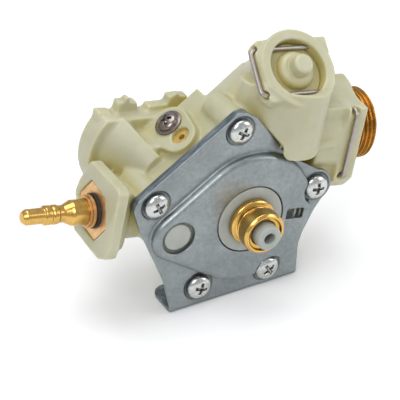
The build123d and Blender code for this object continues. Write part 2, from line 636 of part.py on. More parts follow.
def make_cover_screws():
    screws = []
    for i, (x, z) in enumerate(SCREWS):
        plane = Plane(origin=(x, DIMPLE_DEPTH, z), x_dir=(1, 0, 0), z_dir=(0, -1, 0))
        screw = make_screw(SCREW_HEAD_R, SCREW_HEAD_H, SCREW_LENGTH - 1, 0.8)
        screws.append(plane.location * Rot(0, 0, 25 + 31 * i) * screw)
    return Compound(screws)


def make_side_screw():
    plane = Plane(origin=AT_45.from_local_coords((SIDE_U, SIDE_Y, SIDE_V)), z_dir=(-1, 0, 1))
    head = make_screw(SIDE_HEAD_R, 0.9, 11.0, 0.7) + make_screw(3.9, 2.9, 1.0, 1.2)
    recess = Rectangle(4.4, 1.1) + Rectangle(1.1, 4.4)
    head -= extrude(Pos(0, 0, 1.4) * recess, amount=3)
    return plane.location * head


def make_bypass_cartridge():
    plane = Plane(origin=AT_45.from_local_coords((SIDE_U, CARTRIDGE_Y, SIDE_V)), z_dir=(-1, 0, 1))
    return rod_along(plane, -9.8, -CARTRIDGE_SINK, CARTRIDGE_R - FIT) - rod_along(plane, -11, 0, 1.2)


def make_spindle():
    tip = BOSS_FACE - SPINDLE_LENGTH
    steps = [
        (0, tip), (1.8, tip), (2.9, tip + 1.4), (2.9, tip + 8.1), (3.55, tip + 8.4), (3.55, tip + 13.4),
        (3.15, tip + 13.8), (3.15, tip + 15.8), (4.2, tip + 18.2), (SPINDLE_R, tip + 18.9),
        (SPINDLE_R, GLAND_BODY_END),
        (SPINDLE_COLLAR_R, GLAND_BODY_END), (SPINDLE_COLLAR_R, GLAND_BODY_END + 2), (2.4, GLAND_BODY_END + 2),
        (2.4, SPINDLE_END), (0, SPINDLE_END),
    ]
    return turned(along_x(LINE_Y, SPINDLE_Z), steps)


def make_spindle_gland():
    plane = Plane(origin=(BOSS_FACE + HEX_SINK, LINE_Y, SPINDLE_Z), x_dir=(0, 1, 0), z_dir=(1, 0, 0))
    gland = extrude(plane * flange_outline(0), amount=HEX_T)
    axis = along_x(LINE_Y, SPINDLE_Z)
    back = BOSS_FACE + HEX_SINK + HEX_T
    gland += rod_along(axis, back - 1, GLAND_BODY_END, GLAND_BODY_R)
    gland += rod_along(axis, BOSS_FACE - 3.1, BOSS_FACE + 2, 5.5)
    gland += rod_along(axis, BOSS_FACE - 2.3, BOSS_FACE - 1.3, 6.1)
    gland -= ring(axis, back + 1.0 - GAP, back + 1.0 + FORK_T + GAP, 9.0, 5.9)
    gland -= rod_along(axis, BOSS_FACE - 4, GLAND_BODY_END + 1, SPINDLE_R + FIT)
    gland -= rod_along(axis, -46.2, -44.0, SPINDLE_R + O_RING)
    return gland


def make_nipple():
    """Outlet nipple, measured from the clip's groove."""
    groove, shoulder = OUTLET_CLIP_X, BLOCK_RIGHT + 0.3
    profile = [
        (NIPPLE_BORE_R, groove - 6.3), (SPIGOT_R - 0.6, groove - 6.3), (SPIGOT_R, groove - 5.7),
        (SPIGOT_R, groove - 5.0), (11.6, groove - 5.0), (11.6, groove - 2.6), (SPIGOT_R, groove - 2.6),
        (SPIGOT_R, groove - 1.1), (11.9, groove - 1.1), (11.9, groove + 1.1), (SPIGOT_R, groove + 1.1),
        (SPIGOT_R, shoulder - 0.5), (12.2, shoulder), (12.2, shoulder + 0.8), (THREAD_R, shoulder + 1.4),
        (THREAD_R, THREAD_END - 1.0), (12.4, THREAD_END), (NIPPLE_BORE_R, THREAD_END),
    ]
    return turned(along_x(LINE_Y, OUTLET_Z), profile)


def make_blanking_plug():
    top = -PLUG_SHOULDER
    profile = [
        (0, top - 7.6), (PLUG_R - 0.5, top - 7.6), (PLUG_R, top - 7.1), (PLUG_R, top - 5.4), (8.7, top - 5.4),
        (8.7, top - 2.6), (PLUG_R, top - 2.6), (PLUG_R, top), (PLUG_DOME_R, top), (PLUG_DOME_R, -2.4),
        (PLUG_DOME_R - 0.7, -1.2), (PLUG_DOME_R - 2.0, -0.5), (NUB_R + 0.4, -0.5), (NUB_R, 0.0),
        (NUB_R, NUB_PROUD - 0.8),
        (NUB_R - 0.8, NUB_PROUD), (0, NUB_PROUD),
    ]
    return turned(AT_SOCKET, profile)


# ---------------------------------------------------------------- all nodes
def build():
    chamber = along_y(0, 0)
    line = along_x(LINE_Y, OUTLET_Z)
    arm = along_x(LINE_Y, SPINDLE_Z)
    port = along_y(PORT_X, PORT_Z)
    rear_seat = SEAL_BACK + SEAT_GAP
    port_floor = PORT_FACE - PORT_DEPTH
    nodes = {
        "valve_body": make_valve_body(),
        "cover_bracket": make_cover_bracket(),
        "cover_screws": seat(make_cover_screws()),
        "diaphragm_cover": seat(make_diaphragm_cover()),
        "diaphragm": seat(make_diaphragm()),
        "diaphragm_plate": seat(make_diaphragm_plate()),
        "pushrod": seat(make_pushrod()),
        "gland_nut": seat(make_gland_nut()),
        "gland_o_ring": seat(ring(chamber, -8.9, -6.9, ROD_R + O_RING - 0.1, ROD_R + FIT)),
        "return_spring": seat(coil(chamber, COVER_FRONT + 2.6, LEDGE, 9.0, 0.5, 2.5)),
        "front_seat": seat(ring(chamber, DRUM_END, SEAL_FRONT - STROKE - SEAT_GAP, VALVE_R, SEAT_BORE_R)),
        "plunger_seal": seat(ring(chamber, SEAL_FRONT, SEAL_BACK, SEAL_R, STEM_R)),
        "rear_seat": seat(ring(chamber, rear_seat, rear_seat + SEAT_T, VALVE_R, SEAT_BORE_R)),
        "spindle": seat(make_spindle()),
        "spindle_gland": seat(make_spindle_gland()),
        "spindle_o_ring": seat(ring(arm, -46.1, -44.1, SPINDLE_R + O_RING - 0.1, SPINDLE_R + FIT)),
        "spindle_wiper": seat(ring(arm, BOSS_FACE - 0.6, BOSS_FACE + HEX_SINK, 6.3, 5.5)),
        "spindle_spring": seat(coil(arm, GLAND_BODY_END + 2, -24.0, 4.6, 0.5, 7)),
        "gland_fork": seat(fork_shape(0)),
        "blanking_plug": seat(make_blanking_plug()),
        "plug_o_ring": seat(o_ring(AT_SOCKET, -PLUG_SHOULDER - 4.0, 9.85, 2.1)),
        "top_clip": seat(wire(top_clip_path(), WIRE_BEND, WIRE_R)),
        "outlet_nipple": seat(make_nipple()),
        "nipple_o_ring": seat(o_ring(line, OUTLET_CLIP_X - 3.8, 12.6, 1.9)),
        "outlet_clip": seat(wire(outlet_clip_path(), WIRE_BEND, WIRE_R)),
        "port_washer": seat(ring(port, port_floor, port_floor + WASHER_T, WASHER_R, WASHER_BORE_R)),
        "port_clip": seat(wire(port_clip_path(), WIRE_BEND, WIRE_R)),
        "side_screw": seat(make_side_screw()),
        "bypass_cartridge": seat(make_bypass_cartridge()),
    }
    return nodes


os.makedirs("parts", exist_ok=True)
for name, shape in build().items():
    export_step(shape, f"parts/{name}.step")
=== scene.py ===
"""Looks of a boiler diverter valve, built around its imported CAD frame. Metres, +Z up."""
import json
import math

import bmesh
import bpy
from mathutils import Matrix, Vector


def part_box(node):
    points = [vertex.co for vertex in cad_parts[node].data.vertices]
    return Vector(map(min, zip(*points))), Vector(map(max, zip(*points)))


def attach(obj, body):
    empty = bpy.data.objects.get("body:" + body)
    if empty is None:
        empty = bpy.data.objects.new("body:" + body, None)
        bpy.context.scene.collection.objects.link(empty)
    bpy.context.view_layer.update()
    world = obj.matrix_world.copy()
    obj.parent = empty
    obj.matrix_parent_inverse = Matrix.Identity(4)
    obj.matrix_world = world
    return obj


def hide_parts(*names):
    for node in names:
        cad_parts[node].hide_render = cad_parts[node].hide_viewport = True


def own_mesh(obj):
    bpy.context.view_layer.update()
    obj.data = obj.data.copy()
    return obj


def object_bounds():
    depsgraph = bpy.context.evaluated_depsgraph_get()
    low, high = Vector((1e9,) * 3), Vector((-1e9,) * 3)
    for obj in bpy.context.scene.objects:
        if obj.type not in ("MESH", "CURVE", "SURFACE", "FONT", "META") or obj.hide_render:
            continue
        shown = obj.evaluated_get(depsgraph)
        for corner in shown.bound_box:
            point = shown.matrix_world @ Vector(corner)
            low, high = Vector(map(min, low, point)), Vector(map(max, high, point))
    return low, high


MM = 0.001

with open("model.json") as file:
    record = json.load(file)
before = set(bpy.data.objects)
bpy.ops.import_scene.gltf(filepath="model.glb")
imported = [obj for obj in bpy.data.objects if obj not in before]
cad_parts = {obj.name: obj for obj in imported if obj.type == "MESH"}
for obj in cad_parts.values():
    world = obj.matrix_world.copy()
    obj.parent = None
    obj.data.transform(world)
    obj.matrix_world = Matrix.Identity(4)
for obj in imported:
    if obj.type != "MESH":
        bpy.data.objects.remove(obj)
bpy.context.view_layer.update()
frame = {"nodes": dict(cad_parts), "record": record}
nodes = frame["nodes"]
mounts = {mount["name"]: mount for mount in frame["record"]["mounts"]}
bodies = frame["record"]["behaviour"]["bodies"]
body_of_node = {node: body for body, members in bodies.items() for node in members}
slot_of_node = {part["node"]: part["material_slot"] for part in frame["record"]["subparts"]}

FRONT = Vector((0, -1, 0))
OUTLET_AXIS = Vector(mounts["outlet_thread"]["axis"])
SPINDLE_AXIS = Vector(mounts["spindle_tip"]["axis"])
BODY_UP = Vector((-OUTLET_AXIS.z, 0, OUTLET_AXIS.x))
RIM_NORMAL = (BODY_UP - OUTLET_AXIS).normalized()
RIM_LINE = (BODY_UP + OUTLET_AXIS).normalized()
SOCKET_TILT = math.radians(50)
SOCKET_AXIS = BODY_UP * math.sin(SOCKET_TILT) + FRONT * math.cos(SOCKET_TILT)
DOME_RISE = 3.0 * MM


# ---------------------------------------------------------------- materials
class Finish:
    """A node-based material under construction, read in the part's own coordinates."""

    def __init__(self, name, **sockets):
        self.material = bpy.data.materials.new(name)
        self.material.use_nodes = True
        self.tree = self.material.node_tree
        self.shader = self.tree.nodes["Principled BSDF"]
        self.place = self.tree.nodes.new("ShaderNodeTexCoord").outputs["Object"]
        for socket, value in sockets.items():
            self.shader.inputs[socket.replace("_", " ")].default_value = value

    def node(self, kind, inputs=(), **settings):
        made = self.tree.nodes.new("ShaderNode" + kind)
        for name, value in settings.items():
            setattr(made, name, value)
        for key, value in dict(inputs).items():
            if isinstance(value, bpy.types.NodeSocket):
                self.tree.links.new(value, made.inputs[key])
            else:
                made.inputs[key].default_value = value
        return made

    def noise(self, per_metre, detail=3.0, roughness=0.5, place=None, distortion=0.0):
        inputs = {"Vector": place or self.place, "Scale": per_metre, "Detail": detail,
                  "Roughness": roughness, "Distortion": distortion}
        return self.node("TexNoise", inputs).outputs["Fac"]

    def bands(self, axis, per_metre, detail=3.0):
        """Noise that changes only along one axis, as turning marks do."""
        along = self.node("VectorMath", {0: self.place, 1: axis}, operation="DOT_PRODUCT").outputs["Value"]
        inputs = {"W": along, "Scale": per_metre, "Detail": detail}
        return self.node("TexNoise", inputs, noise_dimensions="1D").outputs["Fac"]

    def stretched(self, axis, squeeze):
        """Coordinates squeezed along an axis, so that noise is drawn out along it."""
        along = self.node("VectorMath", {0: self.place, 1: axis}, operation="DOT_PRODUCT").outputs["Value"]
        less = self.node("Math", {0: along, 1: squeeze - 1.0}, operation="MULTIPLY").outputs[0]
        shift = self.node("VectorMath", {0: axis, "Scale": less}, operation="SCALE").outputs["Vector"]
        return self.node("VectorMath", {0: self.place, 1: shift}, operation="ADD").outputs["Vector"]

    def ramp(self, factor, *stops):
        """Colours or numbers at positions from 0 to 1."""
        made = self.node("ValToRGB", {"Fac": factor})
        elements = made.color_ramp.elements
        while len(elements) < len(stops):
            elements.new(0.5)
        for element, (position, value) in zip(elements, stops):
            element.position = position
            element.color = (*value, 1) if isinstance(value, tuple) else (value, value, value, 1)
        return made.outputs["Color"]

    def mix(self, factor, a, b, blend="MIX"):
        made = self.node("Mix", {"Factor": factor}, data_type="RGBA", blend_type=blend)
        for socket, value in ((made.inputs[6], a), (made.inputs[7], b)):
            if isinstance(value, bpy.types.NodeSocket):
                self.tree.links.new(value, socket)
            else:
                socket.default_value = (*value, 1)
        return made.outputs[2]

    def hollows(self, reach):
        """1 in the open, falling towards 0 in recesses of the given reach."""
        return self.node("AmbientOcclusion", {"Distance": reach}, samples=8).outputs["AO"]

    def facing(self, direction, start, end):
        """0 to 1 as the surface turns towards a direction; start and end are cosines."""
        normal = self.node("NewGeometry").outputs["Normal"]
        cosine = self.node("VectorMath", {0: normal, 1: direction}, operation="DOT_PRODUCT").outputs["Value"]
        inputs = {0: cosine, 1: start, 2: end}
        return self.node("MapRange", inputs, interpolation_type="SMOOTHSTEP").outputs[0]

    def beyond(self, axis, start, end):
        """0 to 1 between two distances along an axis."""
        along = self.node("VectorMath", {0: self.place, 1: axis}, operation="DOT_PRODUCT").outputs["Value"]
        return self.node("MapRange", {0: along, 1: start, 2: end}).outputs[0]

    def times(self, a, b):
        return self.node("Math", {0: a, 1: b}, operation="MULTIPLY").outputs[0]

    def colour(self, socket):
        self.tree.links.new(socket, self.shader.inputs["Base Color"])

    def roughness(self, socket):
        self.tree.links.new(socket, self.shader.inputs["Roughness"])

    def bump(self, *layers):
        """Layers of (height socket, depth in metres)."""
        normal = None
        for height, depth in layers:
            inputs = {"Height": height, "Strength": 1.0, "Distance": depth}
            if normal is not None:
                inputs["Normal"] = normal
            normal = self.node("Bump", inputs).outputs["Normal"]
        self.tree.links.new(normal, self.shader.inputs["Normal"])


def nylon_finish():
    """Natural glass-filled nylon: milky, with painted amber shade in its recesses that stands in for light
    coming through the plastic.
    """
    finish = Finish("nylon", Roughness=0.40, Subsurface_Weight=0.6, Subsurface_Radius=(1.0, 0.82, 0.42),
                    Subsurface_Scale=0.004, Coat_Weight=0.10, Coat_Roughness=0.3)
    cloud = finish.ramp(finish.noise(55, 5, 0.6), (0.32, (0.405, 0.392, 0.268)), (0.7, (0.475, 0.466, 0.345)))
    flow = finish.ramp(finish.noise(28, 3, distortion=1.2), (0.35, (0.93, 0.92, 0.84)), (0.65, (1, 1, 1)))
    in_shade, half_shade, in_light = (1.15, 1.0, 0.52), (1.06, 1.0, 0.76), (1, 1, 1)
    # Painted shade: recesses and half-shaded places are tinted amber and darkened, standing in for light
    # through the translucent nylon.
    amber_recess_shade = finish.ramp(finish.hollows(8 * MM), (0.2, in_shade), (0.6, half_shade), (0.95, in_light))
    finish.colour(finish.mix(1.0, finish.mix(1.0, cloud, flow, "MULTIPLY"), amber_recess_shade, "MULTIPLY"))
    finish.roughness(finish.ramp(finish.noise(900, 3), (0.3, 0.34), (0.75, 0.50)))
    finish.bump((finish.noise(320, 2), 0.00008), (finish.noise(2600, 3), 0.00003))
    return finish


def acetal_finish():
    """White acetal: smooth, with a faint bloom and painted grey shade in its recesses."""
    finish = Finish("white_acetal", Roughness=0.38, Subsurface_Weight=0.25,
                    Subsurface_Radius=(1.0, 0.95, 0.8), Subsurface_Scale=0.0015)
    tone = finish.ramp(finish.noise(180, 3), (0.3, (0.30, 0.315, 0.285)), (0.7, (0.36, 0.375, 0.34)))
    # Painted shade: the colour turns grey where recesses are shaded.
    shade = finish.ramp(finish.hollows(0.003), (0.2, (0.45, 0.45, 0.40)), (0.9, (1, 1, 1)))
    finish.colour(finish.mix(1.0, tone, shade, "MULTIPLY"))
    finish.bump((finish.noise(2200, 3), 0.00002))
    return finish


def galvanised_finish():
    """Zinc-coated sheet: fine spangle; painted dark shade along its folded rim, streaked with scuffs, and
    painted shade in its recesses.
    """
    finish = Finish("galvanised_steel", Metallic=0.85, Roughness=0.40)
    dull, bright = (0.225, 0.252, 0.258), (0.315, 0.342, 0.345)
    spangle = finish.ramp(finish.noise(620, 5, 0.7), (0.3, dull), (0.72, bright))
    cloud = finish.ramp(finish.noise(75, 3), (0.3, 0.84), (0.7, 1.08))
    tone = finish.mix(1.0, spangle, cloud, "MULTIPLY")
    plate_front = -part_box("cover_bracket")[0].y - DOME_RISE
    behind_plate = finish.beyond(FRONT, plate_front, plate_front - 0.4 * MM)
    # Painted shade and dark reflection on the folded rim, where it turns away from the light, with scuff
    # streaks drawn along it.
    rim = finish.times(finish.facing(RIM_NORMAL, 0.55, 0.9), behind_plate)
    drawn_out = {0: finish.stretched(RIM_LINE, 0.18), 1: (520, 520, 520)}
    place = finish.node("VectorMath", drawn_out, operation="MULTIPLY").outputs["Vector"]
    black, slate, rubbed = (0.06, 0.075, 0.085), (0.15, 0.18, 0.20), (0.36, 0.40, 0.42)
    rim_shade_and_scuffs = finish.ramp(finish.noise(1, 6, 0.75, place), (0.34, black), (0.5, slate), (0.66, rubbed))
    tone = finish.mix(rim, tone, rim_shade_and_scuffs)
    # Painted shade: the sheet darkens in its recesses.
    hollow_shade = finish.ramp(finish.hollows(0.0022), (0.35, 0.45), (0.9, 1.0))
    finish.colour(finish.mix(1.0, tone, hollow_shade, "MULTIPLY"))
    finish.roughness(finish.ramp(finish.noise(420, 4), (0.3, 0.32), (0.7, 0.48)))
    finish.bump((finish.noise(1500, 4, 0.6), 0.00003), (finish.noise(260, 2), 0.00006))
    return finish


def turned_finish(name, axis, dark, light, rough=0.2, marks=0.00001):
    """Bright metal with the fine rings that a lathe leaves."""
    finish = Finish(name, Metallic=1.0, Roughness=rough)
    rings = finish.bands(axis, 5200, 4)
    tone = finish.ramp(rings, (0.3, dark), (0.7, light))
    blotch = finish.ramp(finish.noise(240, 4), (0.3, 0.86), (0.65, 1.0))
    finish.colour(finish.mix(1.0, tone, blotch, "MULTIPLY"))
    finish.roughness(finish.ramp(finish.noise(700, 4), (0.3, rough * 0.8), (0.7, rough * 1.35)))
    finish.bump((rings, marks))
    return finish


def satin_brass_finish():
    """Pressed brass with a dull, coppery skin."""
    finish = Finish("satin_brass", Metallic=0.9, Roughness=0.42)
    tone = finish.ramp(finish.noise(420, 4), (0.3, (0.62, 0.37, 0.16)), (0.7, (0.78, 0.51, 0.25)))
    # Painted shade: the brass turns dark brown in its recesses.
    recess_shade = finish.ramp(finish.hollows(0.0015), (0.35, (0.30, 0.14, 0.04)), (0.85, (1, 1, 1)))
    finish.colour(finish.mix(1.0, tone, recess_shade, "MULTIPLY"))
    finish.bump((finish.noise(3000, 3), 0.00002))
    return finish


def zinc_finish():
    """Bright zinc plating, with painted shade in the cross recess."""
    finish = Finish("zinc_screw", Metallic=1.0, Roughness=0.22)
    tone = finish.ramp(finish.noise(900, 4), (0.3, (0.46, 0.47, 0.45)), (0.7, (0.62, 0.63, 0.61)))
    # Painted shade: the zinc turns nearly black in the cross recess.
    recess_shade = finish.ramp(finish.hollows(0.0016), (0.3, (0.10, 0.10, 0.09)), (0.8, (1, 1, 1)))
    finish.colour(finish.mix(1.0, tone, recess_shade, "MULTIPLY"))
    finish.roughness(finish.ramp(finish.noise(1500, 3), (0.3, 0.16), (0.7, 0.30)))
    finish.bump((finish.noise(2400, 3), 0.000004))
    return finish


def dark_steel_finish():
    """Browned steel with a soft shine."""
    finish = Finish("dark_steel", Metallic=1.0, Roughness=0.24)
    tone = finish.ramp(finish.noise(300, 3), (0.3, (0.22, 0.18, 0.16)), (0.7, (0.28, 0.24, 0.22)))
    # Painted shade: the steel darkens in its recesses.
    recess_shade = finish.ramp(finish.hollows(0.0012), (0.3, (0.05, 0.04, 0.035)), (0.75, (1, 1, 1)))
    finish.colour(finish.mix(1.0, tone, recess_shade, "MULTIPLY"))
    finish.roughness(finish.ramp(finish.noise(900, 3), (0.3, 0.2), (0.7, 0.3)))
    finish.bump((finish.noise(1800, 2), 0.000002))
    return finish


def wire_finish(name, base):
    """Drawn wire: dull, finely scratched and spotted."""
    finish = Finish(name, Metallic=0.9, Roughness=0.36)
    light = tuple(1.25 * c for c in base)
    finish.colour(finish.ramp(finish.noise(850, 5, 0.65), (0.3, base), (0.7, light)))
    finish.roughness(finish.ramp(finish.noise(1300, 3), (0.3, 0.28), (0.7, 0.46)))
    finish.bump((finish.noise(3600, 3), 0.00002))
    return finish


def rubber_finish():
    """Black rubber."""
    finish = Finish("rubber", Roughness=0.55, Specular_IOR_Level=0.4)
    black, grey = (0.018, 0.018, 0.018), (0.04, 0.038, 0.036)
    finish.colour(finish.ramp(finish.noise(600, 3), (0.3, black), (0.7, grey)))
    finish.bump((finish.noise(2800, 3), 0.00003))
    return finish


def fibre_finish():
    """Pale vulcanised fibre with a matt, felted surface."""
    finish = Finish("fibre", Roughness=0.7)
    buff, cream = (0.60, 0.57, 0.42), (0.72, 0.70, 0.55)
    finish.colour(finish.ramp(finish.noise(900, 5, 0.7), (0.3, buff), (0.7, cream)))
    finish.bump((finish.noise(2400, 4, 0.7), 0.00006))
    return finish


def amber_finish():
    """Translucent amber plastic."""
    finish = Finish("amber_plastic", Roughness=0.35, Subsurface_Weight=0.3,
                    Subsurface_Radius=(1.0, 0.6, 0.15), Subsurface_Scale=0.0015)
    finish.colour(finish.ramp(finish.noise(500, 4), (0.3, (0.36, 0.23, 0.05)), (0.7, (0.52, 0.37, 0.11))))
    finish.bump((finish.noise(2400, 3), 0.00003))
    return finish


brass_dark, brass_light = (0.56, 0.31, 0.06), (0.80, 0.52, 0.17)
thread_dark, thread_light = (0.40, 0.18, 0.03), (0.56, 0.29, 0.065)
finishes = {
    "nylon": nylon_finish(),
    "white_acetal": acetal_finish(),
    "galvanised_steel": galvanised_finish(),
    "zinc_screw": zinc_finish(),
    "dark_steel": dark_steel_finish(),
    "brass": turned_finish("brass", FRONT, brass_dark, brass_light),
    "satin_brass": satin_brass_finish(),
    "thread_brass": turned_finish("thread_brass", OUTLET_AXIS, thread_dark, thread_light, 0.24, 0.000002),
    "spring_steel": wire_finish("spring_steel", (0.34, 0.33, 0.32)),
    "clip_wire": wire_finish("clip_wire", (0.33, 0.30, 0.28)),
    "rubber": rubber_finish(),
    "fibre": fibre_finish(),
    "amber_plastic": amber_finish(),
}
spindle_brass = turned_finish("spindle_brass", SPINDLE_AXIS, brass_dark, brass_light)


def paint(piece, finish):
    piece.data.materials.clear()
    piece.data.materials.append(finish.material)


# ---------------------------------------------------------------- mesh helpers
def add_piece(name, mesh, node, finish=None):
    """A piece that stands for a CAD node and rides on its body."""
    piece = bpy.data.objects.new(name, mesh)
    bpy.context.scene.collection.objects.link(piece)
    paint(piece, finish or finishes[slot_of_node[node]])
    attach(piece, body_of_node[node])
    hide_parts(node)
    return piece


def evaluated(piece):
    """The piece's mesh with its modifiers applied."""
    bpy.context.view_layer.update()
    return bpy.data.meshes.new_from_object(piece.evaluated_get(bpy.context.evaluated_depsgraph_get()))


def moulded(node, name, voxel, rounds, keep=1.0, fillet=0.0):
    """A CAD shape with its corners run soft and fillets in its creases, as a moulding has them."""
    scratch = bpy.data.objects.new("scratch", nodes[node].data.copy())
    bpy.context.scene.collection.objects.link(scratch)
    swells = (0.0, fillet, -fillet) if fillet else (0.0,)
    for swell in swells:
        if swell:
            offset = scratch.modifiers.new("offset", "DISPLACE")
            offset.strength, offset.mid_level = swell, 0.0
        remesh = scratch.modifiers.new("voxels", "REMESH")
        remesh.mode = "VOXEL"
        remesh.voxel_size = voxel
        remesh.use_smooth_shade = True
    soften = scratch.modifiers.new("soften", "SMOOTH")
    soften.factor = 0.5
    soften.iterations = rounds
    if keep < 1.0:
        fewer = scratch.modifiers.new("fewer", "DECIMATE")
        fewer.ratio = keep
    mesh = evaluated(scratch)
    bpy.data.objects.remove(scratch)
    mesh.shade_smooth()
    mesh.name = name
    return add_piece(name, mesh, node)


def rounded(profile, radius, steps=4):
    """A closed profile of (radius, height) points with its corners turned into arcs."""
    points = [Vector(p) for p in profile]
    result = []
    for before, corner, after in zip([points[-1]] + points[:-1], points, points[1:] + points[:1]):
        into, out = (before - corner), (after - corner)
        if corner.x < 1e-9 or into.length < 1e-9 or out.length < 1e-9:
            result.append(corner)
            continue
        reach = min(radius, into.length * 0.45, out.length * 0.45)
        start, end = corner + into.normalized() * reach, corner + out.normalized() * reach
        for step in range(steps + 1):
            t = step / steps
            result.append(start * (1 - t) ** 2 + corner * (2 * t * (1 - t)) + end * t ** 2)
    return result


def frame_about(origin, axis, up=Vector((0, 0, 1))):
    """Matrix whose Z is an axis and whose Y is as near as can be to an upward direction."""
    z = axis.normalized()
    x = up.cross(z).normalized()
    y = z.cross(x)
    return Matrix.Translation(origin) @ Matrix((x, y, z)).transposed().to_4x4()


def stepped(points, step):
    """Points added along a closed profile so that none are further apart than a step."""
    result = []
    for a, b in zip(points, points[1:] + points[:1]):
        count = max(1, math.ceil((b - a).length / step))
        result += [a.lerp(b, i / count) for i in range(count)]
    return result


def lathe(name, profile, origin, axis, radius=0.25, segments=144, shape=None, step=None):
    """Mesh of a closed profile in millimetres turned about an axis; shape may move a point at an angle."""
    points = rounded(profile, radius)
    if step:
        points = stepped(points, step)
    place = frame_about(origin, axis)
    vertices, faces, rows = [], [], []
    for p in points:
        if p.x < 1e-6:
            rows.append([len(vertices)] * segments)
            height = shape(0.0, p.y, 0.0)[1] if shape else p.y
            vertices.append(place @ Vector((0, 0, height * MM)))
            continue
        rows.append(list(range(len(vertices), len(vertices) + segments)))
        for i in range(segments):
            angle = 2 * math.pi * i / segments
            r, height = shape(p.x, p.y, angle) if shape else p
            vertices.append(place @ (Vector((r * math.cos(angle), r * math.sin(angle), height)) * MM))
    for a, b in zip(rows, rows[1:] + rows[:1]):
        for i in range(segments):
            j = (i + 1) % segments
            corners = list(dict.fromkeys((a[i], a[j], b[j], b[i])))
            if len(corners) > 2:
                faces.append(corners)
    mesh = bpy.data.meshes.new(name)
    mesh.from_pydata(vertices, [], faces)
    mesh.validate()
    mesh.update()
    outward(mesh)
    mesh.shade_smooth()
    return mesh


def outward(mesh):
    """Faces turned so that they all look out of the solid."""
    work = bmesh.new()
    work.from_mesh(mesh)
    loose = [vertex for vertex in work.verts if not vertex.link_faces]
    bmesh.ops.delete(work, geom=loose, context="VERTS")
    bmesh.ops.recalc_face_normals(work, faces=work.faces)
    work.to_mesh(mesh)
    work.free()


def joined(meshes, name):
    """Several meshes as one."""
    work = bmesh.new()
    for mesh in meshes:
        work.from_mesh(mesh)
    result = bpy.data.meshes.new(name)
    work.to_mesh(result)
    work.free()
    result.shade_smooth()
    return result


def middle(points):
    """Centre of the box round some points."""
    low = Vector(min(p[i] for p in points) for i in range(3))
    high = Vector(max(p[i] for p in points) for i in range(3))
    return (low + high) / 2


def end_of(node, axis):
    """Centre of a turned piece's end face."""
    points = [v.co for v in nodes[node].data.vertices]
    reach = max(p.dot(axis) for p in points)
    return middle([p for p in points if reach - p.dot(axis) < SAME_PLANE])


def crisp(piece):
    """Flat faces stay flat beside their rounded edges."""
    weighted = piece.modifiers.new("flat_faces", "WEIGHTED_NORMAL")
    weighted.keep_sharp = True
    return piece


# ---------------------------------------------------------------- moulded and pressed pieces
FINE_VOXEL, SHEET_VOXEL, CREASE_RADIUS = 0.4 * MM, 0.3 * MM, 0.8 * MM

moulded("valve_body", "body_moulding", FINE_VOXEL, 3, keep=0.45, fillet=CREASE_RADIUS)
moulded("cover_bracket", "pressed_bracket", SHEET_VOXEL, 4)
moulded("diaphragm_cover", "chamber_cover", FINE_VOXEL, 4, keep=0.5)

# ---------------------------------------------------------------- turned pieces
# Radii and heights are in millimetres, and heights are measured from each piece's own end face.
THREAD_PITCH, THREAD_DEPTH, THREAD_R = 1.814, 1.16, 13.22
THREAD_ROOM = 1.4          # only points this close to the major radius are cut by the thread
HEAD_R, HEAD_H, SHANK_R, SCREW_LENGTH = 4.7, 3.2, 1.75, 13.0
SIDE_HEAD_R, SIDE_HEAD_H, SIDE_FLANGE_R, SIDE_LENGTH = 3.9, 2.9, 5.15, 11.0
SAME_PLANE = 0.01 * MM


def turned_piece(node, name, axis, profile, radius=0.25, **options):
    """A lathe piece; its profile's heights are measured down from the piece's own end face."""
    mesh = lathe(name, profile, end_of(node, axis), axis, radius, **options)
    return crisp(add_piece(name, mesh, node))


def gland_nut():
    """Threaded neck, flange, waist and nose with a sunk ring in its face."""
    bore, neck, flange, waist, nose = 4.75, 6.2, 8.9, 6.7, 8.1
    back, flange_back = -17.8, -10.85
    profile = [
        (bore, back), (neck, back), (neck, flange_back), (flange - 0.5, flange_back), (flange, -10.35),
        (flange, -8.75), (flange - 0.4, -8.35), (waist, -7.55), (waist, -5.95), (7.2, -5.55), (nose, -5.3),
        (nose, -0.9), (7.3, 0), (6.6, 0), (6.3, -1.2), (5.1, -1.2), (bore, -1.6),
    ]
    return turned_piece("gland_nut", "gland_nut_turned", FRONT, profile, 0.3)


def pushrod():
    """Hollow-tipped rod with a thinner stem behind it."""
    bore, rod, stem = 2.1, 4.7, 2.5
    stem_start, end = -26.1, -44.3
    profile = [
        (0, -8.0), (bore, -8.0), (bore, -0.5), (bore + 0.4, 0), (rod - 0.6, 0), (rod, -0.6),
        (rod, stem_start), (stem, stem_start), (stem, end), (0, end),
    ]
    return turned_piece("pushrod", "pushrod_turned", FRONT, profile, 0.35)


def spindle():
    """Stepped brass spindle with a fine groove in its second step."""
    tip, second, neck, shaft, collar, tail = 2.9, 3.55, 3.15, 4.65, 5.8, 2.4
    collar_start, collar_end, end = -41.6, -43.6, -51.6
    profile = [
        (0, 0), (1.9, 0), (tip, -1.4), (tip, -8.1), (second, -8.5), (second, -10.6), (3.3, -10.9),
        (3.3, -11.3), (second, -11.6), (second, -13.4), (neck, -13.8), (neck, -15.8), (4.2, -18.2),
        (shaft, -18.9), (shaft, collar_start), (collar, collar_start), (collar, collar_end),
        (tail, collar_end), (tail, end), (0, end),
    ]
    piece = turned_piece("spindle", "spindle_turned", SPINDLE_AXIS, profile, 0.25)
    paint(piece, spindle_brass)
    return piece


